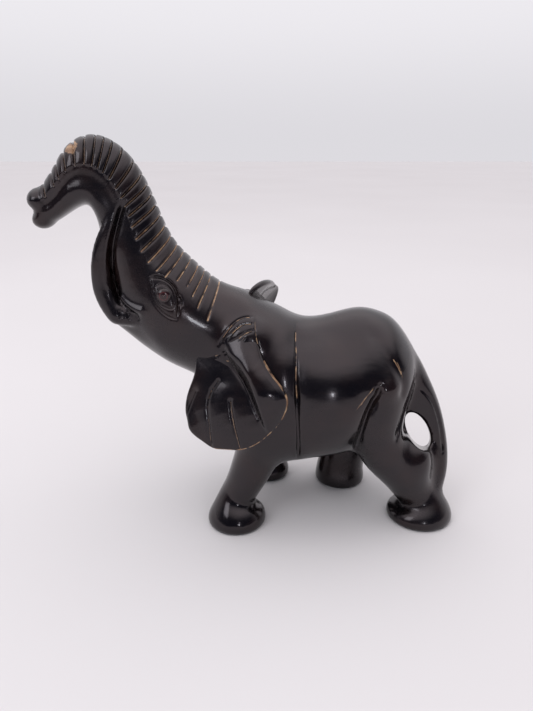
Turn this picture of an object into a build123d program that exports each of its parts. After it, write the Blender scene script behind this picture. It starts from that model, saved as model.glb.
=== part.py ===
from build123d import *
import os

# A hand-carved wooden elephant with its trunk raised, walking towards -X.
# Lengths are in millimetres. Z is up, the soles stand on z = 0, the elephant's left side
# faces -Y, and the origin is on the ground under the middle of the carving.

LEFT = -1
RIGHT = 1

FLOOR_Z = 0.0
SOLE_DEPTH = 12.0              # stock below the soles that is sawn off flat

# Eye: a bead let into a socket, with a pin for the pupil.
EYE_X = -53.0
EYE_Y = 24.3
EYE_Z = 157.0
EYE_RADIUS = 3.9
EYE_BULGE = 2.6                # half the bead's thickness
EYE_TURN = 20.0                # degrees that the eyes look forwards of square
PUPIL_RADIUS = 1.3
PUPIL_LENGTH = 3.4

# Ear: a dished leaf in its own plane. U runs back along the top edge, V runs down and out.
# The left ear hangs and the right one is perked higher, so each has its own root and lie.
EAR_ROOT = {LEFT: (-17.0, -31.5, 121.8), RIGHT: (-5.5, 8.5, 144.2)}
EAR_BACK = {LEFT: (0.868, -0.11, 0.484), RIGHT: (0.593, 0.265, 0.76)}
EAR_OUT = {LEFT: (0.452, -0.357, -0.818), RIGHT: (0.207, 0.863, -0.462)}
EAR_SIZE = {LEFT: 1.0, RIGHT: 0.87}
EAR_THICKNESS = 7.0
EAR_DISH_RADIUS = 105.0        # of the ball that hollows the front of the leaf
EAR_DISH_DEPTH = 4.0
LOBE_SIZE = (11.5, 30.0, 5.5)  # half sizes of the rolled lobe behind the fold
ROOT_SIZE = (14.0, 8.5, 7.0)   # half sizes of the root that is glued to the neck
ROOT_DEPTH = 3.5               # of the root's middle, behind the leaf's middle
ROOT_DOWN = 3.0                # of the root's middle and the dowel, below the top edge

DOWEL_RADIUS = 2.0
DOWEL_LENGTH = 18.0
DOWEL_DEPTH = 10.0             # of the dowel's middle, behind the leaf
DOWEL_CLEARANCE = 0.05

# The body is one run of oval sections from the rump to the tip of the trunk. Each has a point
# on the back (x, z), the point opposite on the belly side (x, z) and a half width.
BODY = [
    (108, 100, 107, 92, 4),
    (105.5, 111, 104, 80, 14),
    (102.3, 120, 98, 66, 25),
    (94.5, 130.8, 91, 55, 34),
    (82, 139, 80, 47, 40),
    (70, 141.4, 68, 42.5, 43),
    (52, 137.8, 52, 40.5, 44),
    (34, 135, 36, 39.5, 44),
    (18, 141, 14, 40, 43),
    (6, 147, -6, 52, 40),
    (-4, 152.3, -20, 74, 34),
    (-12, 155.2, -32, 93, 29.5),
    (-19, 157.9, -45, 100.5, 28.5),
    (-25.5, 161.8, -59, 108, 29),
    (-32, 167.2, -71, 119, 28.5),
    (-39, 173.8, -81, 133, 26),
    (-46, 181, -88, 149, 22.5),
    (-52.5, 190.8, -91, 167, 19.5),
    (-57.3, 202, -93, 183, 17.5),
    (-61.5, 213.3, -94, 196, 16.5),
    (-67.3, 226, -96, 203.5, 16),
    (-77.3, 239.6, -98.5, 206.5, 15.5),
    (-92, 246.9, -102, 206.5, 15),
    (-107, 241.6, -107, 204.5, 14),
    (-116, 230.2, -113, 201, 12.5),
    (-123, 221.3, -120, 197, 11),
    (-129, 216, -126.5, 194.5, 10),
    (-133, 214, -132, 194.5, 8.6),
]

# Every limb is a list of stations: x, y, z of its centre line, then the section's half size
# in the plane of the bend and its half size sideways. Limbs of the left side carry -Y.

JAW = [
    (-48, 0, 126, 15, 19),
    (-64, 0, 129, 13, 17),
    (-79, 0, 138, 11, 15),
    (-90, 0, 148, 9.5, 14),
    (-95.5, 0, 159, 6.5, 12),
    (-97.5, 0, 168, 3.5, 8),
]

# The long pointed edge of the mouth on each side, curving up to touch the trunk.
MOUTH_EDGE = [
    (-70, 16, 140, 5, 5),
    (-85, 16, 143, 6.5, 5),
    (-92, 15, 155, 6.2, 4.5),
    (-93, 14.5, 169, 5.5, 4),
    (-90, 14.5, 184, 4.5, 3.2),
    (-84, 14.5, 197, 3, 2.4),
    (-78, 14.5, 207, 1.2, 1.2),
]

LEFT_FORELEG = [
    (4, -16, 96, 15, 14),
    (3, -21, 74, 20, 18),
    (1, -24, 53, 17.5, 16.5),
    (-4, -25.5, 37, 14.8, 14.5),
    (-10, -27, 20, 13.5, 13.5),
    (-12.5, -28, 10, 14, 14),
    (-13, -28.5, 4, 17.6, 17),
    (-13, -28.5, -8, 19, 18.5),
]

RIGHT_FORELEG = [
    (8, 16, 96, 15, 14),
    (8, 21, 74, 20, 18),
    (8, 25, 53, 17, 16.5),
    (8, 27, 37, 14.5, 14.5),
    (8, 29, 20, 12.8, 13.2),
    (8, 30, 10, 13, 13),
    (8, 30, 4, 15.5, 15.5),
    (8, 30, -8, 16.5, 16.5),
]

LEFT_HIND_LEG = [
    (74, -12, 98, 12, 12),
    (77, -19, 77, 16.5, 18.5),
    (83, -23, 59, 15.5, 17),
    (91, -24, 45, 14, 15),
    (99.5, -24, 32, 13.2, 14),
    (107, -24, 20, 13.4, 13.6),
    (112, -24, 10, 15, 14.8),
    (114.5, -24, 4, 18.8, 17.5),
    (114.5, -24, -8, 20.5, 19.5),
]

RIGHT_HIND_LEG = [
    (74, 12, 98, 12, 12),
    (74, 19, 77, 17, 18.5),
    (71, 23, 53, 15.5, 16),
    (66, 22, 34, 13.8, 14.5),
    (63.5, 21, 19, 13, 13.2),
    (62.5, 21, 10, 13.8, 13.8),
    (62.5, 21, 4, 16.8, 16.2),
    (62.5, 21, -8, 18, 17.5),
]

TAIL = [
    (84, 0, 108, 9, 9),
    (97, -1, 104, 10, 11),
    (109, -2.5, 91, 8.6, 10),
    (118, -5, 75, 7.4, 8.5),
    (123.5, -9, 57, 6.8, 7.2),
    (125.3, -13, 40, 6.6, 7),
    (122.5, -17.5, 25, 7.4, 7.4),
    (117, -21, 14, 9, 8.5),
]

# Leaf outline of the ear, in its own plane, from the top back corner round to the front.
EAR_LEAF = [
    (20.8, -2),
    (20.3, 14),
    (23.6, 38),
    (18, 48),
    (4, 55.5),
    (-12, 58.5),
    (-29, 53),
    (-39, 43),
    (-43.6, 32.4),
    (-39.4, 18),
    (-21, -4),
]


def body(sections):
    """The body lofted through ovals that run from the back to the belly side."""
    ovals = []
    for back_x, back_z, belly_x, belly_z, half_width in sections:
        back = Vector(back_x, 0, back_z)
        belly = Vector(belly_x, 0, belly_z)
        rise = back - belly
        plane = Plane(origin=(back + belly) / 2, x_dir=rise, z_dir=rise.cross(Vector(0, 1, 0)))
        ovals.append(plane * Ellipse(rise.length / 2, half_width))
    return loft(ovals)


def limb(stations):
    """A limb lofted through elliptical sections, each square to the centre line."""
    sideways = Vector(0, 1, 0)
    centres = [Vector(x, y, z) for x, y, z, _, _ in stations]
    last = len(stations) - 1
    sections = []
    for i, (_, _, _, in_plane, across) in enumerate(stations):
        along = (centres[min(i + 1, last)] - centres[max(i - 1, 0)]).normalized()
        side = (sideways - along * sideways.dot(along)).normalized()
        plane = Plane(origin=centres[i], x_dir=side, z_dir=along)
        sections.append(plane * Ellipse(across, in_plane))
    return loft(sections)


def ball(centre, half_sizes):
    """An ellipsoid given by its middle and its half sizes along X, Y and Z."""
    return Pos(*centre) * scale(Sphere(1.0), by=half_sizes)


def ear_plane(side):
    """The ear's own plane: X back along its top edge, Z outwards, square to the leaf."""
    back = Vector(*EAR_BACK[side])
    facing = back.cross(Vector(*EAR_OUT[side])) * side
    return Plane(origin=EAR_ROOT[side], x_dir=back, z_dir=facing)


def ear(side):
    """One ear: a dished leaf, a rolled lobe behind the fold and a root for the glue joint."""
    plane = ear_plane(side)
    size = EAR_SIZE[side]
    outline = [(u * size, v * size * side) for u, v in EAR_LEAF]
    leaf_face = make_face(Spline(*outline) + Line(outline[-1], outline[0]))
    leaf = extrude(leaf_face, EAR_THICKNESS / 2, both=True)
    dish_z = EAR_THICKNESS / 2 - EAR_DISH_DEPTH + EAR_DISH_RADIUS
    leaf -= Pos(-14, 32 * side, dish_z) * Sphere(EAR_DISH_RADIUS)
    lobe = Pos(13, 27 * side, 1.0) * scale(Sphere(1.0), by=LOBE_SIZE)
    lobe = scale(lobe, by=size)
    root = Pos(0, ROOT_DOWN * side, -ROOT_DEPTH) * scale(Sphere(1.0), by=ROOT_SIZE)
    return plane * (leaf + lobe + root)


def dowel(side, clearance=0.0):
    """The dowel that runs square from the ear's root into the neck."""
    plane = ear_plane(side)
    rod = Cylinder(DOWEL_RADIUS + clearance, DOWEL_LENGTH + 2 * clearance)
    return plane * (Pos(0, ROOT_DOWN * side, -DOWEL_DEPTH) * rod)


def eye_plane(side):
    """The eye's plane, looking out sideways and a little forwards."""
    facing = Vector(0, side, 0).rotate(Axis.Z, EYE_TURN * side)
    return Plane(origin=(EYE_X, EYE_Y * side, EYE_Z), x_dir=(0, 0, 1), z_dir=facing)


def eye_bead(side):
    """The glossy bead of one eye."""
    return eye_plane(side) * scale(Sphere(1.0), by=(EYE_RADIUS, EYE_RADIUS, EYE_BULGE))


def pupil_pin(side):
    """The pin through the middle of one eye bead, flush with the bead's back."""
    pin = Pos(0, 0, EYE_BULGE - PUPIL_LENGTH / 2 + 0.2) * Cylinder(PUPIL_RADIUS, PUPIL_LENGTH)
    return eye_plane(side) * pin


def mirrored(stations):
    """The same limb on the other side."""
    return [(x, -y, z, in_plane, across) for x, y, z, in_plane, across in stations]


def carving():
    """Body, head, trunk, mouth, legs and tail, before the sockets are cut."""
    block = body(BODY)
    block += ball((-131, 0, 208.5), (6.5, 9, 6.5)) + ball((-131.5, 0, 198), (5, 8, 4.5))
    block += limb(JAW)
    block += limb(MOUTH_EDGE) + limb(mirrored(MOUTH_EDGE))
    for leg in (LEFT_FORELEG, RIGHT_FORELEG, LEFT_HIND_LEG, RIGHT_HIND_LEG):
        block += limb(leg)
    block += limb(TAIL)
    waste = Pos(0, 0, FLOOR_Z - SOLE_DEPTH) * Box(400, 200, 2 * SOLE_DEPTH)
    return block - waste


def keep(name, shape):
    """Write one sub-part."""
    shape.label = name
    export_step(shape, f"parts/{name}.step")


def main():
    os.makedirs("parts", exist_ok=True)
    block = carving()
    for side, name in ((LEFT, "left"), (RIGHT, "right")):
        whole_ear = ear(side)
        block -= whole_ear
        block -= dowel(side, DOWEL_CLEARANCE)
        bead = eye_bead(side)
        pin = pupil_pin(side)
        block = block - bead - pin
        keep(f"{name}_ear", whole_ear - dowel(side, DOWEL_CLEARANCE))
        keep(f"{name}_ear_dowel", dowel(side))
        keep(f"{name}_eye_bead", bead - pin)
        keep(f"{name}_pupil_pin", pin)
    keep("carved_block", block)


main()
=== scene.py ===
import math

import bmesh
import bpy
import numpy as np
import openvdb as vdb
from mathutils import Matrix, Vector
from mathutils.bvhtree import BVHTree


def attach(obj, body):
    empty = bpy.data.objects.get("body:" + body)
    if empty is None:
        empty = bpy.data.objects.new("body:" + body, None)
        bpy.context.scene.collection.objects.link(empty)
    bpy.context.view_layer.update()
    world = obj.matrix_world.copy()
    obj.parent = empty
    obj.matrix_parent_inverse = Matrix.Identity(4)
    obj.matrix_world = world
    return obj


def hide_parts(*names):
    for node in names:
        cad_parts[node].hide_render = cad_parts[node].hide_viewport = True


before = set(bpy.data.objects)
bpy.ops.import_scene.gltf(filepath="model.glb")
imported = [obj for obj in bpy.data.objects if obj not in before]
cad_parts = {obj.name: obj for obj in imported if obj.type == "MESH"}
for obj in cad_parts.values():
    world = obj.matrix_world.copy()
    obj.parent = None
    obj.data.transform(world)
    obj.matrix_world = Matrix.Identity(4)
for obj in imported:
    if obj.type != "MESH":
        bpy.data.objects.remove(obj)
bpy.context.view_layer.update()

# The sculpt is worked out in millimetres, in the row's frame, and written out in metres.
MM = 0.001
LEFT = -1
RIGHT = 1
SIDES = {LEFT: "left", RIGHT: "right"}

# ---------------- the carving's big forms
# The body's ovals, from rump to trunk tip: back (x, z), belly side (x, z), half width. A place in
# this list, or between two of its rows, is called a station.
BODY = [
    (108, 100, 107, 92, 4),
    (105.5, 111, 104, 80, 14),
    (102.3, 120, 98, 66, 25),
    (94.5, 130.8, 91, 55, 34),
    (82, 139, 80, 47, 40),
    (70, 141.4, 68, 42.5, 43),
    (52, 137.8, 52, 40.5, 44),
    (34, 135, 36, 39.5, 44),
    (18, 141, 14, 40, 43),
    (6, 147, -6, 52, 40),
    (-4, 152.3, -20, 74, 34),
    (-12, 155.2, -32, 93, 29.5),
    (-19, 157.9, -45, 100.5, 28.5),
    (-25.5, 161.8, -59, 108, 29),
    (-32, 167.2, -71, 119, 28.5),
    (-39, 173.8, -81, 133, 26),
    (-46, 181, -88, 149, 22.5),
    (-52.5, 190.8, -91, 167, 19.5),
    (-57.3, 202, -93, 183, 17.5),
    (-61.5, 213.3, -94, 196, 16.5),
    (-67.3, 226, -96, 203.5, 16),
    (-77.3, 239, -98.5, 206.5, 15.5),
    (-92, 246, -102, 206.5, 15),
    (-107, 241, -107, 204.5, 14),
    (-116, 230.2, -113, 201, 12.5),
    (-123, 221.3, -120, 197, 11),
    (-127.5, 216, -126.5, 194.3, 9.8),
]

# How far the ovals are lean above and full below, and how square-shouldered, by station.
LEAN = (
    [2, 4, 5, 6, 7, 8, 9, 10, 11, 12, 17, 20, 25],
    [0, 0.06, 0.1, 0.14, 0.16, 0.19, 0.19, 0.15, 0.1, 0, 0, 0.26, 0.2],
)
SQUARE = ([5, 6, 7, 8, 9, 10, 11, 12, 17, 20, 25], [0, -0.04, 0.12, 0.32, 0.36, 0.3, 0.15, 0, 0, 0.28, 0.2])

# Limbs: x, y, z of the centre line, half size in the plane of the bend, half size sideways.
# The mouth's edge is on both sides, and its rows are the right one's.
JAW = [
    (-48, 0, 126, 15, 19),
    (-64, 0, 129, 13, 17),
    (-79, 0, 138, 11, 15),
    (-90, 0, 148, 9.5, 14),
    (-95.5, 0, 159, 6.5, 12),
    (-97.5, 0, 168, 3.5, 8),
]

MOUTH_EDGE = [
    (-70, 16, 140, 5, 5),
    (-84, 16.5, 143, 6.5, 5),
    (-91, 15.5, 155, 6.5, 4.2),
    (-92.5, 15, 169, 6, 3.6),
    (-90, 15, 184, 5, 3),
    (-84.5, 15, 197, 3.4, 2.4),
    (-78.5, 15, 207, 1.2, 1.2),
]

LEFT_FORELEG = [
    (5, -16, 96, 15, 14),
    (5, -21, 74, 19.2, 18),
    (3.2, -24, 53, 15.8, 16.5),
    (-2.6, -25.5, 37, 13.6, 14.5),
    (-9.2, -27, 23, 12, 13.2),
    (-12.2, -28, 16, 12.8, 13.2),
    (-12.6, -29.2, 11, 16.0, 15.8),
    (-12.5, -29.6, 6.5, 18.8, 18.8),
    (-12.2, -29.6, 2, 19.6, 19.6),
    (-12, -29.6, -5, 17, 17),
]

RIGHT_FORELEG = [
    (8, 16, 96, 15, 14),
    (8, 21, 74, 20, 18),
    (8, 25, 53, 17, 16.5),
    (8, 27, 37, 14.5, 14.5),
    (8, 29, 23, 12.6, 13.2),
    (8, 30, 16, 12.9, 13),
    (8, 30, 11, 14.8, 14.6),
    (8, 30, 6.5, 16.8, 16.6),
    (8, 30, 2, 17.2, 17),
    (8, 30, -5, 15, 15),
]

LEFT_HIND_LEG = [
    (74, -12, 98, 12, 12),
    (77, -20, 78, 16.5, 19.5),
    (81, -23, 60, 17, 18),
    (89.2, -24, 46.6, 15.8, 16.5),
    (99.6, -24, 33.6, 14.2, 15),
    (108, -24, 22, 13.3, 13.8),
    (112, -24, 16, 13.8, 14),
    (113.4, -24.5, 11, 17.6, 16.8),
    (113.6, -24.8, 6.5, 21, 20),
    (113.7, -24.8, 2, 22, 20.8),
    (113.7, -24.8, -5, 19, 18.5),
]

RIGHT_HIND_LEG = [
    (74, 12, 98, 12, 12),
    (75, 20, 78, 18, 19.5),
    (72, 23, 54, 17.5, 16.5),
    (69, 22, 36, 17.5, 16),
    (66, 21.5, 24, 17, 15.4),
    (65, 21.5, 17, 17, 15.6),
    (64.4, 21.5, 11, 17.4, 16.4),
    (64.2, 21.5, 6.5, 18, 17.4),
    (64.2, 21.5, 2, 18.2, 17.6),
    (64.2, 21.5, -5, 16, 16),
]

TAIL = [
    (84, 0, 112, 9, 12),
    (95.5, -1, 106.5, 11, 13),
    (108, -3, 92.8, 9, 11.5),
    (117, -6, 76.6, 7.6, 9.4),
    (123, -9.5, 58, 7.2, 8),
    (125.4, -13, 41, 7.4, 7.8),
    (123, -18, 25, 8, 8),
    (117, -21, 14, 9, 8.5),
]

# The web between tail and hind leg, which the tail's hole is cut through.
WEB = [
    (98, -6, 90, 9, 8),
    (107, -8, 76, 10, 7),
    (111, -10, 60, 12, 6.5),
    (113, -14, 46, 12.5, 7.5),
    (113.5, -18, 34, 10.5, 9),
    (114, -21, 24, 8, 9),
]
HOLE_MIDDLE = (111.5, -10, 58.2)
HOLE_LONG = (-7.1, 0, 12.9)      # half of its long and short axes
HOLE_SHORT = (5.9, 0, 3.2)
HOLE_DRIFT = (0.25, 1, -0.42)    # the way it runs through the web

# Soft swellings: middle, half sizes, how far they melt into the body.
SHOULDERS = [((-4, -24, 129), (14, 9.5, 12), 6), ((-6, 24, 137), (13, 8, 11), 6)]
BELLY = [((26, 26, 88), (24, 15, 34), 8), ((47, 22, 88), (25, 24.6, 35), 10)]  # on both sides
TRUNK_LIPS = [((-128.8, 0, 209.6), (7.2, 10.2, 7.2), 3), ((-128.2, 0, 198.2), (6.4, 9.6, 5.6), 3)]
HEEL = [((106, -23, 42), (12, 13, 16), 9)]
NOSTRILS = [((-137, 4, 204.5), (4.5, 2.5, 3.2), 1.5)]                          # scooped out, both sides

# How far each form melts into the clay that it joins, or how soft the edge of its cut is.
BODY_MELT = 1
JAW_MELT = 5
MOUTH_MELT = 2
LEG_MELT = 9
TAIL_MELT = 5
WEB_MELT = 4
HOLE_MELT = 1.5
SOLE_MELT = 1.6

CLAY_BOX = ((-142, -52, -5), (142, 52, 250))
VOXEL = 1.6                      # mm between the clay's samples
BAND = 12.0                      # mm of true distance kept each side of every surface
RING_POINTS = 72                 # points round a tube
STEPS_PER_SPAN = 8               # rings of points from one station to the next

# Carved lines, draped onto both flanks from the side: (x, z) path, width, depth, width of the bare
# wood in it. A negative depth raises a ridge.
LINES = [
    # shoulder and thigh
    ([(27, 135), (26.6, 124.8), (25.7, 108.5), (26.4, 92)], 1.0, 1.0, 0.35),
    ([(25.7, 108.5), (26.7, 83.5), (28, 66), (28.4, 50)], 1.3, 1.3, 0),
    ([(27.2, 137), (26.6, 122), (25.7, 108.5), (26.7, 83.5), (28.4, 50)], 5.0, 1.3, 0),
    ([(77, 104), (75.4, 97), (71.3, 87.3), (68, 74.3), (66.3, 62), (65.6, 51)], 2.1, 3.0, 0),
    ([(76, 100), (71.3, 87.3), (68, 74.3), (65.6, 51), (65, 40)], 6.5, 1.8, 0),
    ([(70, 136), (78, 126.2), (84.5, 117.2), (90.5, 108), (92.7, 100.2), (90.5, 92)], 4.2, 1.3, 0),
    # tail: the cleft behind the thigh, and the ridge down the tail's flank
    ([(104, 101), (99.5, 92), (96, 83), (93, 74), (90.5, 66)], 2.2, 3.0, 0),
    ([(107.7, 92), (115, 85.5), (121.5, 74), (126, 58), (127.5, 46)], 1.3, 0.9, 0),
    # scratches on the flank and the rump
    ([(73.5, 104), (69, 98), (64.5, 92)], 0.5, 0.12, 0.3),
    ([(72, 101), (66.5, 95.5), (62, 89.5)], 0.5, 0.12, 0.25),
    ([(85.5, 119), (89.5, 113), (92.5, 107)], 0.6, 0.12, 0.35),
    ([(88, 117), (91, 111.5), (93.5, 104)], 0.6, 0.12, 0.25),
    # wrinkles above the ear and the seam of its root
    ([(-21.1, 126.5), (-15.3, 136.6), (-9.8, 141.6), (-4.5, 143.2), (-0.9, 143)], 0.85, 1.0, 0.3),
    ([(-17.5, 128.8), (-11.8, 136), (-6.2, 139.8), (0.7, 140.1)], 0.85, 1.0, 0.3),
    ([(-18, 123.4), (-10.8, 130.3), (-4.3, 135.3), (0.7, 137)], 0.85, 1.0, 0.3),
    ([(-17, 121.6), (-9.3, 128.3), (-4.9, 133.4)], 0.85, 1.0, 0.3),
    ([(1, 143), (2, 132.6), (3.5, 126)], 0.7, 0.6, 0.25),
    # eye: upper lid, lower lid, opening, and the nick behind it
    ([(-60.9, 166.9), (-57.3, 167.3), (-51.9, 165.5), (-47.4, 161.5), (-45.2, 156.3), (-44.7, 150.3),
      (-46.3, 143.1)], 0.9, 1.4, 0),
    ([(-46.3, 143.1), (-49.5, 144), (-54.9, 147.6), (-58.9, 152.9), (-60.6, 158.7), (-60.9, 166.9)],
     0.8, 0.9, 0),
    ([(-44.6, 156.5), (-43.3, 153.5), (-43.4, 150.5)], 1.1, 1.4, 0),
    ([(-58.5, 161.5), (-54.5, 163.2), (-50.2, 161), (-47.4, 155.5), (-47.8, 149.5), (-52.5, 150),
      (-57, 154), (-58.6, 158), (-58.5, 161.5)], 0.65, 0.8, 0),
    # mouth: the deep slot between lip and trunk, the ridge along the lip, the cheek's folds
    ([(-75.2, 209), (-77.8, 202.6), (-82.2, 190), (-84.8, 180), (-86.1, 166.6), (-84.2, 154.6),
      (-82.6, 149.8)], 1.8, 3.4, 0),
    ([(-79.5, 203), (-85.3, 190), (-88.4, 178), (-89.4, 167), (-87.8, 157)], 1.2, -0.6, 0),
    ([(-81.5, 155), (-77, 150.4), (-72, 147.8), (-65, 146.2)], 2.6, -1.7, 0),
    ([(-81.4, 146), (-81, 141)], 1.2, 0.9, 0),
    ([(-77, 145), (-76, 139.5)], 1.2, 1.0, 0),
    ([(-71.6, 144), (-70, 139.5)], 1.1, 0.8, 0),
    # the joint line under the jaw
    ([(-36, 112.5), (-31, 115), (-25, 118.5), (-21, 121)], 0.9, 0.8, 0.25),
]
STEPS_PER_CM = 24                # how densely a draped line is stepped
OUTSIDE = 80                     # mm from the middle plane, clear of the block
DEEP = 2.5                       # lines deeper than this are cut straight in from the side
BROAD = 4                        # lines wider than this are soft hollows that fade at both ends
BARE_EDGE = 0.55                 # what the cut_gap layer reads where a line's bare wood ends
FAR = 9.0                        # what it reads away from every line

# Low rounded lumps on both flanks: (x, z), radius, height. Nearer the middle than FLANK there are none.
FLANK = 12
LUMPS = [
    ((83.5, 100), 9, 2.0),
    ((-52.5, 156.5), 8.5, 1.0),
    ((-57, 171), 5.0, 0.9),
    ((-86, 140), 5, 0.9),
    ((-58, 128), 7, 0.8),
]

# Gaps between the trunk's cut rings, from the tip to the nape, along its back.
RING_GAPS = [
    8.6, 5.8, 8.0, 8.3, 7.5, 6.6, 4.9, 5.2, 6.8, 9.2, 8.2, 6.7,
    6.1, 6.6, 6.2, 7.1, 6.9, 6.5, 5.6, 6.2, 6.2, 5.2, 4.9, 6.7,
]
FIRST_RING = 25.4                # the station of the ring nearest the tip
# How far round the body from the back's middle the rings reach, in degrees, by station.
RING_REACH = ([12.3, 13, 13.5, 14, 14.6, 15.2, 16, 17, 20, 25.6], [66, 58, 52, 46, 47, 58, 66, 74, 78, 74])

RING_SLANT = 0.3                 # stations that a ring slants forward by, over 60 degrees
RING_COUNT = len(RING_GAPS)
PITCH = float(np.mean(RING_GAPS))

# The rings' relief. On the trunk the rings are cut deeper than on the brow, by the second number.
TRUNK_FROM = (15.5, 18.5)        # the stations over which the brow turns into the trunk
RING_SCALLOP = (0.2, 0.75)       # how deep the wood dips toward a ring
RING_GROOVE = (0.8, 0.2)         # how deep the ring's own groove is
RING_GROOVE_WIDTH = 0.7
RING_RAISED = 0.55               # how far the ringed band stands out of the trunk
RING_ENDS = 0.6                  # how many rings past the last one still count as near a ring
NO_RING = -9.0                   # the ring count away from the head
SCOOP_DEPTH = 1.5                # the hollow along the trunk's side, below the ringed band
SCOOP_START = (17.2, 19)         # the stations over which it sets in and runs out
SCOOP_END = (26.2, 24.5)
SCOOP_MIDDLE = 22                # degrees below the band
SCOOP_WIDTH = 15

# Where the mesh is made finer, twice: the share of a line's reach, and mm each side of a ring.
FINER = [(1.0, 9), (0.45, 1.1)]
HEAD_FROM = (0, 125)             # the head and trunk are in front of this x and above this z

# The ears: where each is rooted, the way back along its root and the way out along the leaf.
EAR_ROOT = {LEFT: (-17, -31.5, 121.8), RIGHT: (-5.5, 12, 144.4)}
EAR_BACK = {LEFT: (0.868, -0.11, 0.484), RIGHT: (0.593, 0.265, 0.76)}
EAR_OUT = {LEFT: (0.452, -0.357, -0.818), RIGHT: (0.207, 0.863, -0.462)}

# The leaf's outline in its own plane, as (back, out).
EAR_LOWER_RIM = [
    (20.2, 11), (20.5, 18), (22.0, 26.8), (23.4, 33.4), (23.6, 39), (21.5, 44.1), (17.2, 48.5),
    (10.8, 52.7), (3.7, 55.5), (-4.4, 57.8), (-11.8, 58.5), (-19, 57.4), (-24, 55.4), (-29, 53),
    (-34, 50.3), (-37, 46.8), (-39, 43.3), (-42.1, 38), (-43.6, 32.4), (-42.4, 27), (-41.5, 23),
    (-39.4, 18.1), (-35.6, 12.8), (-29.8, 7.3), (-24, 1.4), (-19, -6),
]
EAR_OUTLINE = [(0, -10), (16, -9), (20.8, 1), *EAR_LOWER_RIM]
EAR_OUTLINE_RIGHT = [
    (0, -13), (8.5, -13.5), (13, -10.2), (16.4, -5.7), (20.3, 3.6), (22.2, 12.5), (23.2, 22),
    *EAR_LOWER_RIM[3:],
]
EAR_SIZE = {LEFT: (1, 1), RIGHT: (0.93, 0.87)}
EAR_MIDDLE = (-4.0, 27.0)        # the point that the leaf's rings of points close in on

# Each by the way out along the leaf: how far back its crease, its fold's crest and its rear rim are,
# how high the fold stands, and how the whole leaf bows.
EAR_CREASE = ([-8, 0.3, 8.3, 19, 27.6, 36.3, 46.2, 55.5], [-0.8, -0.8, 0, 2.2, 2.7, 2.4, 1.6, 0.9])
EAR_EDGE = ([-8, 1, 9.7, 21.5, 35.9, 52.3], [1.4, 2, 7.5, 9, 6.8, 2.9])
EAR_REAR = ([-8, -0.2, 10.7, 18, 26.8, 38.6, 44, 50.7, 55.8], [20, 21, 20.1, 20.5, 22, 23.6, 21.5, 13, 4.3])
EAR_FOLD = {
    LEFT: ([-6, 4, 16, 34, 46, 56], [3.0, 5.4, 6.8, 6.0, 3.4, 0.8]),
    RIGHT: ([4, 18, 34, 46, 56], [0, 3.6, 4.0, 2.4, 0.8]),
}
EAR_BOW = ([-10, 16, 24, 32, 40, 48, 60], [-2.5, -0.9, -0.2, 0, -0.45, -1.7, -4.6])
EAR_RIM_STEPS = 14               # points from one corner of the outline to the next
EAR_FAN = 38                     # from the crease to the leaf's front rim
EAR_FAN_CROWN = 1.4
EAR_SMOOTHING = 7                # rounds of softening on the front
EAR_BACK_SMOOTHING = 9
EAR_BACK_SHARE = 0.55            # how much of the front's relief shows on the back
EAR_THICKNESS = 3.6
EAR_ROOT_EXTRA = 1.6             # how much thicker the leaf is at its root
EAR_ROUND = 2.2                  # how far in from the rim it is rounded off

# Grooves cut in the leaf: (back, out) path, depth. The first two are rubbed down to bare wood.
EAR_GROOVES = [
    ([(-11.8, 13.1), (-18.6, 16.7), (-22.9, 20.9), (-25.8, 25.8), (-29.5, 35), (-35.6, 49)], 0.9),
    ([(-9.8, 27.3), (-12.6, 35), (-15.2, 43.5), (-19.3, 59)], 0.9),
    ([(-28.5, 12.6), (-34, 17), (-39, 21.8), (-44, 26.3)], 0.7),
    ([(-0.8, 0.3), (0, 8.3), (2.2, 19.1), (2.7, 27.6), (2.4, 36.3), (1.8, 44)], 0.7),
]
EAR_GROOVE_WIDTH = 1.1
EAR_DIP_WIDTH = 4.2              # each groove lies in a wider, shallower dip
EAR_BACK_RIDGE = [(2, 9), (12.3, 14.1), (16.8, 17.8), (21.5, 27)]

# The eyes: the middle of the right socket, then how far out of it each dome sits, its radius and rise.
EYE = (-53, 24.3, 157)
IRIS_DOME = (2.3, 4.4, 2.1)
PUPIL_DOME = (3.7, 1.0, 1.0)

# Bare wood where the stain has chipped or rubbed off: centre in metres, size.
WORN_SPOTS = [
    ((-0.1035, -0.0085, 0.2395), 0.0042),
    ((-0.0173, -0.0308, 0.1050), 0.0011),
    ((0.0030, -0.0320, 0.1300), 0.0010),
]

# The studio, in metres and watts. Lamps: place, size, power, colour, whether the polish mirrors it.
LAMPS = [
    ("overhead", (-0.2, 0.3, 1.6), (1.8, 1.4), 5.5, (1.0, 0.99, 1.0), False),
    ("window", (0.27, -1.5, 0.29), (0.09, 0.14), 1.1, (0.90, 0.95, 1.0), True),
    ("side_window", (-1.0, -0.9, 0.9), (0.6, 0.7), 4.2, (0.92, 0.96, 1.0), True),
]
LAMP_AIM = (0, 0, 0.12)
CAMERA_AT = (0.008, -0.350, 0.243)
CAMERA_TILT = 69                 # degrees up from straight down
SENSOR = 36
LENS = 28.35
FLOOR_SIZE = 14
ROOM = (0.07, 0.075, 0.115, 1)   # the dark room behind the camera
WALL = (0.95, 0.93, 0.97, 1)
CEILING = (1.7, 1.62, 1.66, 1)
HORIZON = 0.83                   # how bright the far wall is where it meets the floor
WORLD_STRENGTH = 0.9

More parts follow.
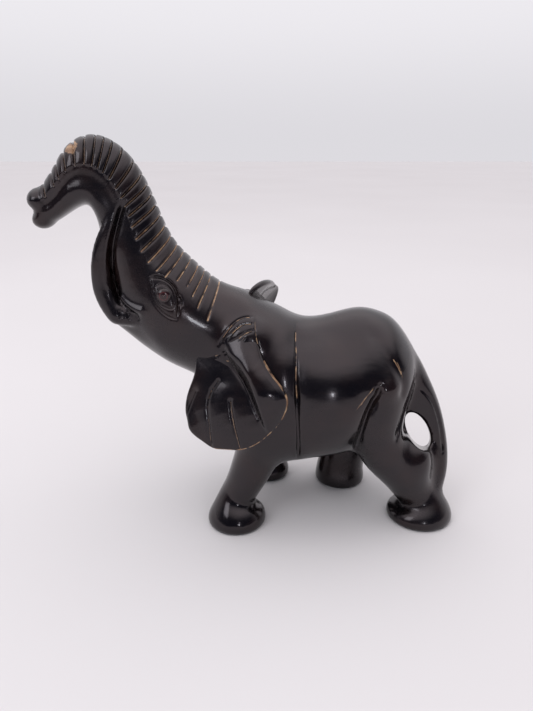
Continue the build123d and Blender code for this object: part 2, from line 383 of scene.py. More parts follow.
STAIN = (0.0022, 0.0019, 0.0026, 1)
STAIN_BROWN = (0.010, 0.0052, 0.0045, 1)
STAIN_GREY = (0.014, 0.010, 0.009, 1)
POLISH_TINT = (1.0, 0.86, 0.91, 1)
RAW_WOOD = (0.50, 0.33, 0.19, 1)
RAW_WOOD_DARK = (0.20, 0.11, 0.06, 1)
IRIS_DARK = (0.012, 0.002, 0.003, 1)
IRIS_RED = (0.055, 0.010, 0.010, 1)
IRIS_RIM = (0.010, 0.006, 0.006, 1)
PUPIL_DARK = (0.012, 0.008, 0.007, 1)
PUPIL_BROWN = (0.032, 0.020, 0.016, 1)
FLOOR_GREY = (0.60, 0.587, 0.592, 1)
FLOOR_PALE = (0.66, 0.65, 0.657, 1)


def natural_spline(rows, steps):
    """Rows of numbers, smoothly filled in by a natural cubic spline along their own path."""
    rows = np.asarray(rows, float)
    gaps = np.linalg.norm(np.diff(rows[:, :3], axis=0), axis=1)
    at = np.concatenate([[0.0], np.cumsum(gaps)])
    count = len(rows)
    lhs = np.eye(count)
    rhs = np.zeros_like(rows)
    for i in range(1, count - 1):
        before, after = gaps[i - 1], gaps[i]
        lhs[i, i - 1 : i + 2] = before, 2 * (before + after), after
        rhs[i] = 6 * ((rows[i + 1] - rows[i]) / after - (rows[i] - rows[i - 1]) / before)
    bend = np.linalg.solve(lhs, rhs)
    wanted = np.interp(np.linspace(0, count - 1, (count - 1) * steps + 1), range(count), at)
    span = np.clip(np.searchsorted(at, wanted, side="right") - 1, 0, count - 2)
    gap = gaps[span][:, None]
    left = (at[span + 1] - wanted)[:, None]
    right = (wanted - at[span])[:, None]
    return (
        bend[span] * left**3 / (6 * gap)
        + bend[span + 1] * right**3 / (6 * gap)
        + (rows[span] / gap - bend[span] * gap / 6) * left
        + (rows[span + 1] / gap - bend[span + 1] * gap / 6) * right
    )


def body_frames(sections):
    """Each oval as its middle, its arm to the back, its arm sideways, its lean and squareness."""
    rows = []
    for place, (back_x, back_z, belly_x, belly_z, half_width) in enumerate(sections):
        shape = [np.interp(place, *LEAN), np.interp(place, *SQUARE)]
        back = np.array([back_x, 0, back_z], float)
        belly = np.array([belly_x, 0, belly_z], float)
        rows.append([*(back + belly) / 2, *(back - belly) / 2, 0, half_width, 0, *shape])
    return rows


def limb_frames(stations):
    """The same numbers for a limb, whose sections are plain ovals square to its centre line."""
    centres = np.array([row[:3] for row in stations], float)
    along = np.gradient(centres, axis=0)
    rows = []
    for row, centre, way in zip(stations, centres, along):
        way = way / np.linalg.norm(way)
        side = np.array([0, 1, 0]) - way * way[1]
        side /= np.linalg.norm(side)
        rows.append([*centre, *np.cross(side, way) * row[3], *side * row[4], 0, 0])
    return rows


def tube(frames, steps=STEPS_PER_SPAN, dome=0.5):
    """A closed tube through the ovals, with a dome at each end: its points and its quads."""
    rows = natural_spline(frames, steps)
    rows = np.concatenate([dome_rows(rows, 0, 1, dome), rows, dome_rows(rows, -1, -2, dome)])
    turn = np.linspace(0, 2 * math.pi, RING_POINTS, endpoint=False)
    centre, back, side = rows[:, None, :3], rows[:, None, 3:6], rows[:, None, 6:9]
    lean, square = rows[:, 9:10], rows[:, 10:11]
    up, across = np.cos(turn), np.sin(turn)
    across = across * (1 - lean * up + square * up**2)
    points = centre + back * up[None, :, None] + side * across[:, :, None]
    rings = len(rows)
    first = np.arange(RING_POINTS)
    after = (first + 1) % RING_POINTS
    quads = [
        np.stack([r + first, r + after, r + RING_POINTS + after, r + RING_POINTS + first], 1)
        for r in np.arange(rings - 1) * RING_POINTS
    ]
    return points.reshape(-1, 3), np.concatenate(quads)


def dome_rows(rows, end, beside, dome):
    """Ovals that close a tube's end in a rounded dome."""
    tip, inner = rows[end], rows[beside]
    way = tip[:3] - inner[:3]
    way /= np.linalg.norm(way)
    reach = dome * min(np.linalg.norm(tip[3:6]), np.linalg.norm(tip[6:9]))
    turns = np.radians([80, 60, 40, 20] if end == 0 else [20, 40, 60, 80])
    out = []
    for turn in turns:
        row = tip.copy()
        row[:3] += way * reach * math.sin(turn)
        row[3:] *= math.cos(turn)
        out.append(row)
    close = tip.copy()
    close[:3] += way * reach
    close[3:] *= 0.001
    return np.array([close, *out] if end == 0 else [*out, close])


def ball(centre, half_sizes):
    """An ellipsoid's points and quads."""
    frames = []
    for turn in np.radians(np.linspace(-84, 84, 15)):
        x = centre[0] + half_sizes[0] * math.sin(turn)
        ring = math.cos(turn)
        frames.append([x, *centre[1:], 0, 0, half_sizes[2] * ring, 0, half_sizes[1] * ring, 0, 0, 0])
    return tube(frames, steps=3, dome=0.1)


def melted(field, other, melt):
    """The smaller of two distances, rounded off over about melt where they meet."""
    near = np.maximum(melt - np.abs(field - other), 0) / melt
    return np.minimum(field, other) - near * near * melt / 4


class Clay:
    """A block of signed distance that forms are blended into, and that is meshed at the end."""

    def __init__(self, low, high, voxel):
        self.voxel = voxel
        self.first = np.floor(np.array(low) / voxel).astype(int)
        self.shape = np.ceil(np.array(high) / voxel).astype(int) - self.first
        self.field = np.full(self.shape, BAND, np.float32)
        self.transform = vdb.createLinearTransform(voxelSize=voxel)

    def distance(self, form):
        """The signed distance to a closed form at every sample."""
        points, quads = form
        grid = vdb.FloatGrid.createLevelSetFromPolygons(
            points.astype(np.float32),
            quads=quads.astype(np.uint32),
            transform=self.transform,
            halfWidth=BAND / self.voxel,
        )
        out = np.full(self.shape, BAND, np.float32)
        grid.copyToArray(out, ijk=tuple(int(i) for i in self.first))
        return out

    def add(self, form, melt):
        """Unite a form with the clay, with a soft fillet about as wide as melt."""
        self.field = melted(self.field, self.distance(form), melt)

    def cut(self, form, melt):
        """Take a form away from the clay, with a softened edge."""
        self.field = -melted(-self.field, self.distance(form), melt)

    def stand_on_floor(self, melt):
        """Saw the clay off flat at z = 0."""
        z = (np.arange(self.shape[2]) + self.first[2]) * self.voxel
        self.field = -melted(-self.field, z.astype(np.float32), melt)

    def mesh(self):
        """The clay's skin as points and quads."""
        grid = vdb.FloatGrid(BAND)
        grid.transform = self.transform
        grid.copyFromArray(self.field, ijk=tuple(int(i) for i in self.first))
        points, quads = grid.convertToQuads(isovalue=0.0)
        return points.astype(float), quads.astype(int)

    def read(self, points):
        """The signed distance at each point, between the samples."""
        at = points / self.voxel - self.first
        low = np.clip(np.floor(at).astype(int), 0, np.array(self.shape) - 2)
        part = at - low
        total = np.zeros(len(points))
        for corner in np.ndindex(2, 2, 2):
            share = np.prod(np.where(np.array(corner) == 1, part, 1 - part), axis=1)
            x, y, z = (low + corner).T
            total += share * self.field[x, y, z]
        return total

    def slope(self, points):
        """The unit way out of the clay at each point."""
        step = self.voxel * 0.9
        ways = np.eye(3) * step
        way = np.stack([self.read(points + w) - self.read(points - w) for w in ways], axis=1)
        return way / np.maximum(np.linalg.norm(way, axis=1), 1e-6)[:, None]

    def settle(self, points):
        """Points moved onto the clay's skin."""
        for _ in range(2):
            points = points - self.slope(points) * self.read(points)[:, None]
        return points


def mirrored(stations):
    """A limb's rows for the other side of the body."""
    return [(row[0], -row[1], *row[2:]) for row in stations]


def both_sides(forms):
    """Each swelling or hollow on the left and on the right."""
    return [((x, side * y, z), *rest) for (x, y, z), *rest in forms for side in (LEFT, RIGHT)]


def hole_frames():
    """The ovals of the hole that is cut between the tail and the leg."""
    drift = np.array(HOLE_DRIFT)
    return [[*(HOLE_MIDDLE + drift * along), *HOLE_LONG, *HOLE_SHORT, 0, 0] for along in (-30, 0, 30)]


def model_clay():
    """The whole block's big forms, before any knife work."""
    clay = Clay(*CLAY_BOX, VOXEL)
    clay.add(tube(body_frames(BODY)), BODY_MELT)
    clay.add(tube(limb_frames(JAW)), JAW_MELT)
    for edge in (MOUTH_EDGE, mirrored(MOUTH_EDGE)):
        clay.add(tube(limb_frames(edge)), MOUTH_MELT)
    for leg in (LEFT_FORELEG, RIGHT_FORELEG, LEFT_HIND_LEG, RIGHT_HIND_LEG):
        clay.add(tube(limb_frames(leg)), LEG_MELT)
    for middle, half_sizes, melt in [*SHOULDERS, *both_sides(BELLY), *TRUNK_LIPS, *HEEL]:
        clay.add(ball(middle, half_sizes), melt)
    clay.add(tube(limb_frames(TAIL)), TAIL_MELT)
    clay.add(tube(limb_frames(WEB)), WEB_MELT)
    clay.cut(tube(hole_frames()), HOLE_MELT)
    for middle, half_sizes, melt in both_sides(NOSTRILS):
        clay.cut(ball(middle, half_sizes), melt)
    clay.stand_on_floor(SOLE_MELT)
    return clay


# ---------------- knife work on the block
def smooth_step(low, high, value):
    """0 at low and 1 at high, which may be the smaller of the two, with soft ends."""
    t = np.clip((value - low) / (high - low), 0, 1)
    return t * t * (3 - 2 * t)


def gap_to_path(points, path, reach):
    """Each point's distance to a dense path, and how far along the path it is nearest, 0 to 1."""
    gap = np.full(len(points), 99.0)
    along = np.zeros(len(points))
    near = np.all(
        (points > path.min(axis=0) - reach) & (points < path.max(axis=0) + reach), axis=1
    )
    where = np.flatnonzero(near)
    for part in np.array_split(where, max(1, len(where) // 4000)):
        away = np.linalg.norm(points[part][:, None] - path[None], axis=2)
        gap[part] = away.min(axis=1)
        along[part] = away.argmin(axis=1) / (len(path) - 1)
    return gap, along


def drape(path, side, skin):
    """A side-view path of (x, z) points laid on the block's left or right flank."""
    rows = np.array([(x, 0.0, z) for x, z in path])
    longest = np.linalg.norm(np.diff(rows, axis=0), axis=1).max()
    steps = max(4, int(STEPS_PER_CM * longest / 10))
    rows = natural_spline(rows, steps) if len(rows) > 2 else np.linspace(rows[0], rows[1], STEPS_PER_CM)
    laid = []
    for x, _, z in rows:
        spot = skin.ray_cast(Vector((x, side * OUTSIDE, z)), Vector((0, -side, 0)))[0]
        if spot is not None:
            laid.append(spot)
    return np.array(laid)


def station_of(points):
    """Each point's station along the body, and its angle round it from the back's middle."""
    rows = natural_spline(body_frames(BODY), STEPS_PER_SPAN)
    centre, back, side = rows[:, :3], rows[:, 3:6], rows[:, 6:9]
    tall, wide = np.linalg.norm(back, axis=1), np.linalg.norm(side, axis=1)
    square = np.cross(back, side)
    square /= np.linalg.norm(square, axis=1)[:, None]
    station = np.zeros(len(points))
    angle = np.zeros(len(points))
    for part in np.array_split(np.arange(len(points)), len(points) // 3000 + 1):
        away = points[part][:, None] - centre[None]
        off = np.einsum("prc,rc->pr", away, square)
        up = np.einsum("prc,rc->pr", away, back) / tall**2
        out = np.einsum("prc,rc->pr", away, side) / wide**2
        miss = np.hypot(off, (np.hypot(up, out) - 1) * np.minimum(tall, wide))
        best = miss.argmin(axis=1)
        pick = np.arange(len(part))
        here = off[pick, best]
        step = np.where(here * off[pick, np.clip(best + 1, 0, len(rows) - 1)] < 0, 1, -1)
        beside = off[pick, np.clip(best + step, 0, len(rows) - 1)]
        extra = np.where(here * beside < 0, step * here / (here - beside + 1e-9), 0)
        station[part] = (best + extra) / STEPS_PER_SPAN
        angle[part] = np.degrees(np.arctan2(np.abs(out[pick, best]), up[pick, best]))
    return station, angle


def ring_count(station, angle):
    """A number that rises by one from each of the trunk's cut rings to the next."""
    rows = natural_spline(body_frames(BODY), STEPS_PER_SPAN)
    spine = rows[:, :3] + rows[:, 3:6]
    run = np.concatenate([[0], np.cumsum(np.linalg.norm(np.diff(spine, axis=0), axis=1))])
    stations = np.arange(len(rows)) / STEPS_PER_SPAN
    start = np.interp(FIRST_RING, stations, run)
    slanted = station + RING_SLANT * angle / 60
    before = start - np.interp(slanted, stations, run)
    rings = np.concatenate([[0], np.cumsum(RING_GAPS)])
    inside = np.interp(before, rings, np.arange(len(rings)))
    return inside + np.minimum(before, 0) / PITCH + np.maximum(before - rings[-1], 0) / PITCH


def split(points, faces, wanted):
    """Cut the wanted faces in four, and fit the faces beside them."""
    work = bmesh.new()
    for point in points:
        work.verts.new(point)
    work.verts.ensure_lookup_table()
    for face in faces:
        work.faces.new([work.verts[i] for i in face])
    work.faces.ensure_lookup_table()
    edges = {edge for i in np.flatnonzero(wanted) for edge in work.faces[i].edges}
    bmesh.ops.subdivide_edges(work, edges=list(edges), cuts=1, use_grid_fill=True)
    work.verts.index_update()
    points = np.array([vert.co for vert in work.verts])
    faces = [[vert.index for vert in face.verts] for face in work.faces]
    work.free()
    return points, faces


def face_any(faces, marked):
    """Which faces have a marked corner."""
    return np.array([any(marked[i] for i in face) for face in faces])


def around_head(points):
    """The head's points, their station and angle, their ring count and how far the rings reach."""
    head = np.flatnonzero((points[:, 0] < HEAD_FROM[0]) & (points[:, 2] > HEAD_FROM[1]))
    station, angle = station_of(points[head])
    return head, station, angle, ring_count(station, angle), np.interp(station, *RING_REACH)


def refine(clay, points, faces, lines):
    """The block's mesh, made finer where lines and rings will be cut."""
    for share, ring_reach in FINER:
        marked = np.zeros(len(points), bool)
        for path, width, _, _ in lines:
            if width < BROAD:
                reach = (1.6 * width + 1.2) * share
                marked |= gap_to_path(points, path, reach + 1)[0] < reach
        head, _, angle, count, edge = around_head(points)
        beside = np.abs(count - np.round(count)) * PITCH
        rings = (count > -RING_ENDS) & (count < RING_COUNT + RING_ENDS) & (angle < edge + 8)
        marked[head] |= rings & (beside < ring_reach)
        points, faces = split(points, faces, face_any(faces, marked))
        points = clay.settle(points)
    return points, faces


def cut_lines(points, lines):
    """How far the lines lift each point, how far they sink it sideways, and the cut_gap layer."""
    lift = np.zeros(len(points))
    sunk = np.zeros(len(points))
    cut_gap = np.full(len(points), FAR)
    for path, width, depth, tan in lines:
        gap, along = gap_to_path(points, path, 3 * width + 2)
        fade = smooth_step(0, 0.12, along) * smooth_step(1, 0.88, along)
        open_end = 0.25 + 0.75 * fade
        cut = depth * np.exp(-((gap / width) ** 2)) * (fade if width > BROAD else open_end)
        if depth > DEEP:
            sunk += cut
        else:
            lift -= cut
        if tan:
            cut_gap = np.minimum(cut_gap, gap + BARE_EDGE - tan + (1 - open_end))
    return lift, sunk, cut_gap


def raise_lumps(points):
    """How far the low lumps lift each point of the flanks."""
    lift = np.zeros(len(points))
    flank = np.abs(points[:, 1]) > FLANK
    for (x, z), radius, height in LUMPS:
        away = np.hypot(points[:, 0] - x, points[:, 2] - z)
        lift += np.where(flank, height * np.exp(-((away / radius) ** 2) * 1.4), 0)
    return lift


def cut_rings(points):
    """How far the trunk's rings lift each point, and the paint layers that the rings are lined by."""
    lift = np.zeros(len(points))
    rings = np.full(len(points), NO_RING)
    ring_mask = np.zeros(len(points))
    head, station, angle, count, edge = around_head(points)
    beside = np.abs(count - np.round(count))
    ends = smooth_step(-0.75, -0.35, count) * smooth_step(RING_COUNT + 0.2, RING_COUNT - 0.1, count)
    band = smooth_step(edge + 4, edge - 5, angle) * ends
    on_trunk = smooth_step(*TRUNK_FROM, station)
    scallop = (RING_SCALLOP[0] + RING_SCALLOP[1] * on_trunk) * (1 - 2 * beside) ** 4
    depth = RING_GROOVE[0] + RING_GROOVE[1] * on_trunk
    groove = depth * np.exp(-((beside * PITCH / RING_GROOVE_WIDTH) ** 2))
    raised = RING_RAISED * on_trunk * smooth_step(edge + 3.5, edge - 1.5, angle) * ends
    scoop = SCOOP_DEPTH * smooth_step(*SCOOP_START, station) * smooth_step(*SCOOP_END, station)
    scoop = scoop * np.exp(-(((angle - edge - SCOOP_MIDDLE) / SCOOP_WIDTH) ** 2))
    lift[head] = raised - band * (scallop + groove) - scoop
    rings[head] = count
    ring_mask[head] = smooth_step(edge + 2.5, edge - 1, angle) * ends
    return lift, rings, ring_mask


def carve_block():
    """The block's points and faces with every ring, line and lump cut, and its paint layers."""
    clay = model_clay()
    points, faces = clay.mesh()
    skin = BVHTree.FromPolygons(points.tolist(), faces.tolist())
    lines = [(drape(path, side, skin), *cut) for path, *cut in LINES for side in (LEFT, RIGHT)]
    points, faces = refine(clay, points, faces, lines)
    normals = clay.slope(points)
    line_lift, sunk, cut_gap = cut_lines(points, lines)
    ring_lift, rings, ring_mask = cut_rings(points)
    lift = line_lift + raise_lumps(points) + ring_lift
    points = points + normals * lift[:, None]
    points[:, 1] -= np.sign(points[:, 1]) * sunk
    return points, faces, {"rings": rings, "ring_mask": ring_mask, "cut_gap": cut_gap}


def new_piece(name, points, faces, layers=None):
    """A smooth-shaded mesh object from points in millimetres, with a number layer for each mask."""
    mesh = bpy.data.meshes.new(name)
    mesh.from_pydata((np.asarray(points) * MM).tolist(), [], [list(map(int, f)) for f in faces])
    mesh.update()
    shaped = bmesh.new()
    shaped.from_mesh(mesh)
    bmesh.ops.recalc_face_normals(shaped, faces=shaped.faces)
    shaped.to_mesh(mesh)
    shaped.free()
    mesh.polygons.foreach_set("use_smooth", [True] * len(mesh.polygons))
    for layer, values in (layers or {}).items():
        mesh.attributes.new(layer, "FLOAT", "POINT").data.foreach_set("value", values.astype(np.float32))
    piece = bpy.data.objects.new(name, mesh)
    bpy.context.scene.collection.objects.link(piece)
    return piece


# ---------------- ears
def path_gap_2d(u, v, path):
    """Distance from each (u, v) to a polyline."""
    best = np.full(u.shape, 99.0)
    for (au, av), (bu, bv) in zip(path[:-1], path[1:]):
        run_u, run_v = bu - au, bv - av
        t = np.clip(((u - au) * run_u + (v - av) * run_v) / (run_u**2 + run_v**2), 0, 1)
        best = np.minimum(best, np.hypot(u - au - t * run_u, v - av - t * run_v))
    return best


def ear_height(u, v, side):
    """How far the ear's outer face stands out of its plane."""
    crease, edge, rim = (np.interp(v, *line) for line in (EAR_CREASE, EAR_EDGE, EAR_REAR))
    tall = np.interp(v, *EAR_FOLD[side])
    fan = np.clip((crease - u) / EAR_FAN, 0, 1)
    bow = EAR_FAN_CROWN * np.sin(math.pi * fan) + np.interp(v, *EAR_BOW)
    facet = tall * np.clip((u - crease) / np.maximum(edge - crease, 0.5), 0, 1)
    over = np.clip((u - edge) / np.maximum(rim - edge, 1), 0, 1)
    lapel = tall * (1 - 0.75 * over**2) + 0.6 * np.sin(math.pi * over)
    return bow + np.where(u < crease, 0, np.where(u < edge, facet, lapel))


def soften(height, rounds):
    """Average a grid's heights with their neighbours, so its creases aren't razor sharp."""
    for _ in range(rounds):
        around = (np.roll(height, 1, axis=0) + np.roll(height, -1, axis=0)) / 2
        height = (height + around) / 2
        height[:, 1:-1] = (2 * height[:, 1:-1] + height[:, :-2] + height[:, 2:]) / 4
    return height


def closed_spline(outline, steps):
    """A smooth closed loop through the outline's points."""
    count = len(outline)
    rows = np.array([(u, v, 0.0) for u, v in outline + outline + outline + outline[:1]])
    return natural_spline(rows, steps)[count * steps : 2 * count * steps, :2]


def below(value, end):
    """1 well below the end, falling to 0 over the last 6 mm before it."""
    return np.clip((end - value) / 6, 0, 1)


def groove_profile(gap, depth, width=EAR_GROOVE_WIDTH):
    """How deep a rounded groove is at a distance from its middle."""
    return depth * np.exp(-((gap / width) ** 2))


def leaf_faces(spokes, rings):
    """Faces for two layers of spokes by rings points, joined round the rim and closed at the hub."""
    half = spokes * rings
    faces = []
    for i in range(spokes):
        a, b = i * rings, (i + 1) % spokes * rings
        for j in range(rings - 1):
            faces.append((a + j, a + j + 1, b + j + 1, b + j))
            faces.append((half + b + j, half + b + j + 1, half + a + j + 1, half + a + j))
        faces.append((a + rings - 1, half + a + rings - 1, half + b + rings - 1, b + rings - 1))
    front = list(range(0, half, rings))
    back = [half + i for i in reversed(front)]
    for hub, loop in ((2 * half, front), (2 * half + 1, back)):
        faces += [(hub, start, after) for start, after in zip(loop, loop[1:] + loop[:1])]
    return faces


def ear_points(outline, side):
    """An ear in its own plane: u, v, height for each point, its faces and its cut layer."""
    loop = closed_spline(outline, EAR_RIM_STEPS)
    middle = np.array(EAR_MIDDLE)
    rings = np.concatenate([[0.02], np.linspace(0.06, 0.9, 44), 1 - np.linspace(0.3, 0, 9) ** 2])
    flat = middle + (loop - middle)[:, None] * rings[None, :, None]
    u, v = flat[..., 0], flat[..., 1]
    form = ear_height(u, v, side)
    height = soften(form, EAR_SMOOTHING)
    gaps = [path_gap_2d(u, v, path) for path, _ in EAR_GROOVES]
    for gap, (_, depth) in zip(gaps, EAR_GROOVES):
        height -= groove_profile(gap, depth) + groove_profile(gap, 0.4 * depth, EAR_DIP_WIDTH)
    inward = (1 - rings)[None, :] * np.linalg.norm(loop - middle, axis=1)[:, None]
    unworn = below(u, 4) * below(v, 50) + below(v, 14)
    cut = np.minimum(np.minimum.reduce(gaps[:2]) + 0.38, (inward + 9 * unworn) * 0.9)
    round_off = np.sqrt(np.clip(1 - (1 - np.clip(inward / EAR_ROUND, 0, 1)) ** 2, 0, 1))
    rooted = np.clip((u - 4) / 12, 0, 1) * np.clip(1 - v / 50, 0, 1)
    thick = EAR_THICKNESS + EAR_ROOT_EXTRA * rooted
    mean = soften(form, EAR_BACK_SMOOTHING) * EAR_BACK_SHARE - thick / 2
    front = mean + (height - mean) * round_off
    back = mean - thick / 2 * round_off + groove_profile(path_gap_2d(u, v, EAR_BACK_RIDGE), 0.7)
    layers = [np.stack([u, v, face], -1) for face in (front, back)]
    hubs = [layer[:, 0].mean(axis=0, keepdims=True) for layer in layers]
    points = np.concatenate([*(layer.reshape(-1, 3) for layer in layers), *hubs])
    painted = np.full(len(points), FAR)
    painted[: cut.size] = cut.ravel()
    return points, leaf_faces(len(loop), len(rings)), painted


def make_ear(side):
    """An ear's leaf, set on its root."""
    outline = EAR_OUTLINE if side == LEFT else EAR_OUTLINE_RIGHT
    flat, faces, cut = ear_points(outline, side)
    flat[:, :2] *= EAR_SIZE[side]
    back, out = (np.array(way, float) for way in (EAR_BACK[side], EAR_OUT[side]))
    back /= np.linalg.norm(back)
    out -= back * out.dot(back)
    out /= np.linalg.norm(out)
    facing = np.cross(back, out) * side
    points = np.array(EAR_ROOT[side]) + flat[:, :1] * back + flat[:, 1:2] * out + flat[:, 2:] * facing
    if side == LEFT:
        faces = [tuple(reversed(face)) for face in faces]
    return new_piece(SIDES[side] + "_ear_leaf", points, faces, {"cut_gap": cut})


# ---------------- eyes
def make_dome(name, side, dome, rings=14, around=40):
    """A shallow dome facing sideways out of an eye socket, with a closed back."""
    proud, radius, rise = dome
    x, y, z = EYE[0], EYE[1] + proud, EYE[2]
    points = [(x, side * (y + rise), z)]
    for r in range(1, rings + 1):
        t = r / rings * math.pi / 2
        for k in range(around):
            turn = 2 * math.pi * k / around
            points.append((
                x + radius * math.sin(t) * math.cos(turn),
                side * (y + rise * math.cos(t)),
                z + radius * math.sin(t) * math.sin(turn),
            ))
    points.append((x, side * (y - 1), z))
    faces = [(0, 1 + k, 1 + (k + 1) % around) for k in range(around)]
    for r in range(rings - 1):
        a = 1 + r * around
        for k in range(around):
            nxt = (k + 1) % around
            faces.append((a + k, a + around + k, a + around + nxt, a + nxt))
    last = 1 + (rings - 1) * around
    faces += [(last + k, len(points) - 1, last + (k + 1) % around) for k in range(around)]
    if side == LEFT:
        faces = [tuple(reversed(face)) for face in faces]
    return new_piece(name, points, faces)


# ---------------- materials
class Nodes:
    """A short way to write the node tree of a material or the world."""

    def __init__(self, owner, coordinates):
        owner.use_nodes = True
        self.tree = owner.node_tree
        self.position = self.node("ShaderNodeTexCoord").outputs[coordinates]

    def node(self, kind, **settings):
        made = self.tree.nodes.new(kind)
        for key, value in settings.items():
            setattr(made, key, value)
        return made

    def plug(self, source, socket):
        """Link a socket, or set a plain value."""
        if hasattr(source, "node"):
            self.tree.links.new(source, socket)
        else:
            socket.default_value = source

    def math(self, operation, a, b):
        made = self.node("ShaderNodeMath", operation=operation)
        self.plug(a, made.inputs[0])
        self.plug(b, made.inputs[1])
        return made.outputs[0]

    def vector_math(self, operation, a, b=(0, 0, 0)):
        """The node itself, because some operations put out a vector and some a value."""
        made = self.node("ShaderNodeVectorMath", operation=operation)
        self.plug(a, made.inputs[0])
        self.plug(b, made.inputs[1])
        return made

    def fade(self, value, low, high, to_low=0.0, to_high=1.0):
        """A value's soft ramp from to_low at low to to_high at high."""
        made = self.node("ShaderNodeMapRange", interpolation_type="SMOOTHSTEP")
        names = ("Value", "From Min", "From Max", "To Min", "To Max")
        for socket, item in zip(names, (value, low, high, to_low, to_high)):
            self.plug(item, made.inputs[socket])
        return made.outputs["Result"]

    def noise(self, scale, detail, stretch=(1, 1, 1)):
        mapping = self.node("ShaderNodeMapping")
        self.plug(self.position, mapping.inputs["Vector"])
        mapping.inputs["Scale"].default_value = stretch
        made = self.node("ShaderNodeTexNoise")
        self.plug(mapping.outputs["Vector"], made.inputs["Vector"])
        made.inputs["Scale"].default_value = scale
        made.inputs["Detail"].default_value = detail
        return made.outputs["Fac"]

    def layer(self, name):
        return self.node("ShaderNodeAttribute", attribute_name=name).outputs["Fac"]

    def mix(self, factor, a, b):
        made = self.node("ShaderNodeMix", data_type="RGBA")
        self.plug(factor, made.inputs["Factor"])
        self.plug(a, made.inputs["A"])
        self.plug(b, made.inputs["B"])
        return made.outputs["Result"]

    def bump(self, height, strength, distance, normal=None):
        made = self.node("ShaderNodeBump")
        made.inputs["Strength"].default_value = strength
        made.inputs["Distance"].default_value = distance
        self.plug(height, made.inputs["Height"])
        if normal is not None:
            self.plug(normal, made.inputs["Normal"])
        return made.outputs["Normal"]

    def patch(self, centre, size, wobble):
        """1 inside a ragged spot around a point in metres, falling to 0 at its edge."""
        away = self.vector_math("DISTANCE", self.position, centre).outputs["Value"]
        ragged = self.math("ADD", away, self.math("MULTIPLY", wobble, size * 0.9))
        return self.fade(ragged, size * 1.45, size * 1.25)


class Surface(Nodes):
    """A new material and its shader."""

    def __init__(self, name):
        self.material = bpy.data.materials.new(name)
        super().__init__(self.material, "Object")
        self.shader = self.tree.nodes["Principled BSDF"].inputs

    def set(self, **sockets):
        """Plug into the shader's sockets, named with an underscore for each space."""
        for name, source in sockets.items():
            self.plug(source, self.shader[name.replace("_", " ")])


def stained_wood(name, lined):
    """Pale wood stained black and polished, rubbed back to bare wood in its cuts and corners."""
    n = Surface(name)
    cloud = n.noise(38, 4)
    grain = n.noise(260, 3, (0.16, 1, 1))
    speckle = n.noise(900, 2)
    breaks = n.noise(170, 3)
    stain = n.mix(n.fade(cloud, 0.42, 0.72), STAIN, STAIN_BROWN)
    stain = n.mix(n.fade(grain, 0.52, 0.75, 0, 0.35), stain, STAIN_GREY)
    raw = n.mix(n.fade(grain, 0.35, 0.7), RAW_WOOD_DARK, RAW_WOOD)
    cut = n.fade(n.layer("cut_gap"), BARE_EDGE + 0.07, BARE_EDGE - 0.15)
    bare = n.math("MULTIPLY", cut, n.fade(breaks, 0.36, 0.52))
    if lined:
        count = n.layer("rings")
        beside = n.math("MULTIPLY", n.math("PINGPONG", n.math("ADD", count, 40.0), 0.5), PITCH)
        ring = n.math("MULTIPLY", n.fade(beside, 0.50, 0.22), n.fade(n.layer("ring_mask"), 0.3, 0.6))
        nape = n.fade(count, 9.0, 17.0, 0.30, 1.0)
        ring = n.math("MULTIPLY", ring, n.math("MULTIPLY", nape, n.fade(breaks, 0.30, 0.50)))
        bare = n.math("MAXIMUM", bare, ring)
        for centre, size in WORN_SPOTS:
            bare = n.math("MAXIMUM", bare, n.patch(centre, size, n.noise(420, 3)))
    polish = n.fade(n.noise(24, 4), 0.3, 0.75, 0.15, 0.28)
    rough = n.math("ADD", polish, n.fade(speckle, 0.55, 0.8, 0, 0.08))
    rough = n.math("ADD", rough, n.math("MULTIPLY", bare, 0.35))
    facets = n.bump(n.noise(55, 2), 0.30, 0.0011)
    pores = n.bump(n.math("ADD", grain, n.math("MULTIPLY", speckle, 0.35)), 0.25, 0.00016, facets)
    n.set(Base_Color=n.mix(bare, stain, raw), Roughness=rough, Normal=pores)
    n.set(Specular_IOR_Level=0.42, Specular_Tint=POLISH_TINT)
    n.set(Coat_Weight=0.25, Coat_Roughness=0.07, Coat_IOR=1.5)
    return n.material


def plain_wood():
    """The bare dowels inside the ears."""
    n = Surface("plain_wood")
    grain = n.noise(320, 4, (1, 0.15, 1))
    n.set(Base_Color=n.mix(grain, RAW_WOOD_DARK, RAW_WOOD))
    n.set(Roughness=n.fade(grain, 0.3, 0.7, 0.55, 0.75), Normal=n.bump(grain, 0.3, 0.0002))
    return n.material


def eye_material(name, centre):
    """Reddish-brown glassy iris with darker rings, around a centre in metres."""
    n = Surface(name)
    away = n.vector_math("SUBTRACT", n.position, centre).outputs[0]
    flat = n.vector_math("MULTIPLY", away, (1, 0, 1)).outputs[0]
    size = n.vector_math("LENGTH", flat).outputs["Value"]
    radius = n.math("ADD", size, n.math("MULTIPLY", n.noise(700, 2), 0.0004))
    rings = n.fade(n.math("PINGPONG", radius, 0.00085), 0.0003, 0.0006)
    iris = n.mix(rings, IRIS_DARK, IRIS_RED)
    n.set(Base_Color=n.mix(n.fade(radius, 0.0036, 0.0042), iris, IRIS_RIM))
    n.set(Roughness=n.fade(n.noise(500, 3), 0.3, 0.8, 0.14, 0.3), Normal=n.bump(rings, 0.4, 0.0001))
    n.set(Coat_Weight=0.2, Coat_Roughness=0.06)
    return n.material


def pupil_material():
    n = Surface("pupil")
    cloud = n.noise(900, 3)
    n.set(Base_Color=n.mix(cloud, PUPIL_DARK, PUPIL_BROWN))
    n.set(Roughness=n.fade(cloud, 0.3, 0.8, 0.12, 0.3), Normal=n.bump(cloud, 0.2, 0.00008))
    return n.material


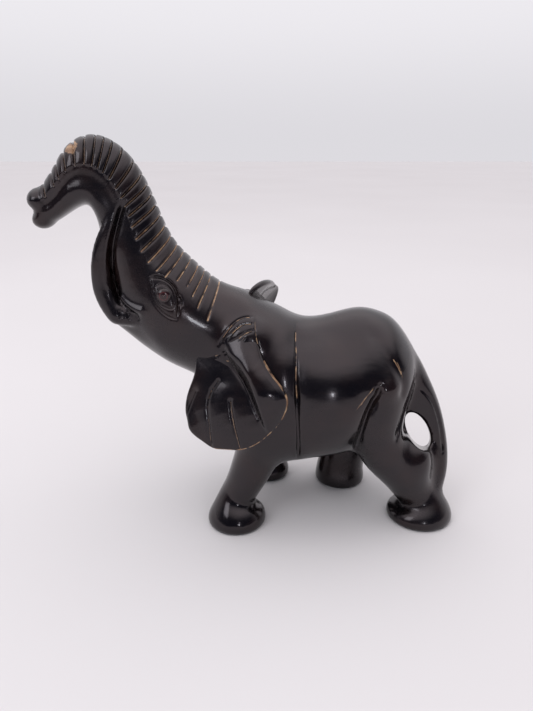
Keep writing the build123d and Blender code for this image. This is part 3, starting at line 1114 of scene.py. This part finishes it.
# ---------------- camera, floor and light
def build_camera():
    data = bpy.data.cameras.new("camera")
    data.sensor_width = SENSOR
    data.lens = LENS
    camera = bpy.data.objects.new("camera", data)
    camera.location = CAMERA_AT
    camera.rotation_euler = (math.radians(CAMERA_TILT), 0, 0)
    bpy.context.scene.collection.objects.link(camera)
    bpy.context.scene.camera = camera


def build_floor():
    bpy.ops.mesh.primitive_plane_add(size=FLOOR_SIZE, location=(0, 0, 0))
    floor = bpy.context.object
    floor.name = "floor"
    n = Surface("floor_cloth")
    n.set(Base_Color=n.mix(n.noise(1.6, 3), FLOOR_GREY, FLOOR_PALE), Roughness=0.85)
    floor.data.materials.append(n.material)


def build_world():
    """A pale studio: bright overhead, and a darker room low down on the camera's side."""
    world = bpy.data.worlds.new("world")
    bpy.context.scene.world = world
    n = Nodes(world, "Generated")
    way = n.node("ShaderNodeSeparateXYZ")
    n.plug(n.position, way.inputs[0])
    up = way.outputs["Z"]
    lit = n.math("MAXIMUM", n.fade(up, 0.36, 0.66), n.fade(way.outputs["Y"], -0.45, 0.25))
    lit = n.math("MULTIPLY", lit, n.fade(up, 0.0, 0.22, HORIZON))
    colour = n.mix(lit, ROOM, n.mix(n.fade(up, 0.5, 0.85), WALL, CEILING))
    background = n.tree.nodes["Background"].inputs
    n.plug(colour, background["Color"])
    n.plug(WORLD_STRENGTH, background["Strength"])
    bpy.context.scene.view_settings.view_transform = "Standard"


def build_lamps():
    for name, at, size, power, colour, mirrored_in_polish in LAMPS:
        data = bpy.data.lights.new(name, "AREA")
        data.shape = "RECTANGLE"
        data.size, data.size_y = size
        data.energy = power
        data.color = colour
        lamp = bpy.data.objects.new(name, data)
        lamp.location = at
        lamp.visible_glossy = mirrored_in_polish
        lamp.rotation_euler = (Vector(at) - Vector(LAMP_AIM)).to_track_quat("Z", "Y").to_euler()
        bpy.context.scene.collection.objects.link(lamp)


def put_on(piece, material, node):
    """Dress a piece and hand it over in place of a CAD node."""
    piece.data.materials.append(material)
    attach(piece, "root")
    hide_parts(node)


build_camera()
build_floor()
build_world()
build_lamps()

block_points, block_faces, block_layers = carve_block()
block = new_piece("carving", block_points, block_faces, block_layers)
put_on(block, stained_wood("block_stain", True), "carved_block")

ear_stain = stained_wood("ear_stain", False)
wood = plain_wood()
pupil = pupil_material()
for side, name in SIDES.items():
    put_on(make_ear(side), ear_stain, name + "_ear")
    eye = make_dome(name + "_eye", side, IRIS_DOME)
    centre = (EYE[0] * MM, side * EYE[1] * MM, EYE[2] * MM)
    put_on(eye, eye_material(name + "_iris", centre), name + "_eye_bead")
    dot = make_dome(name + "_pupil", side, PUPIL_DOME, 8, 24)
    put_on(dot, pupil, name + "_pupil_pin")
    dowel = bpy.data.objects[name + "_ear_dowel"]
    for slot in dowel.material_slots:
        slot.material = wood
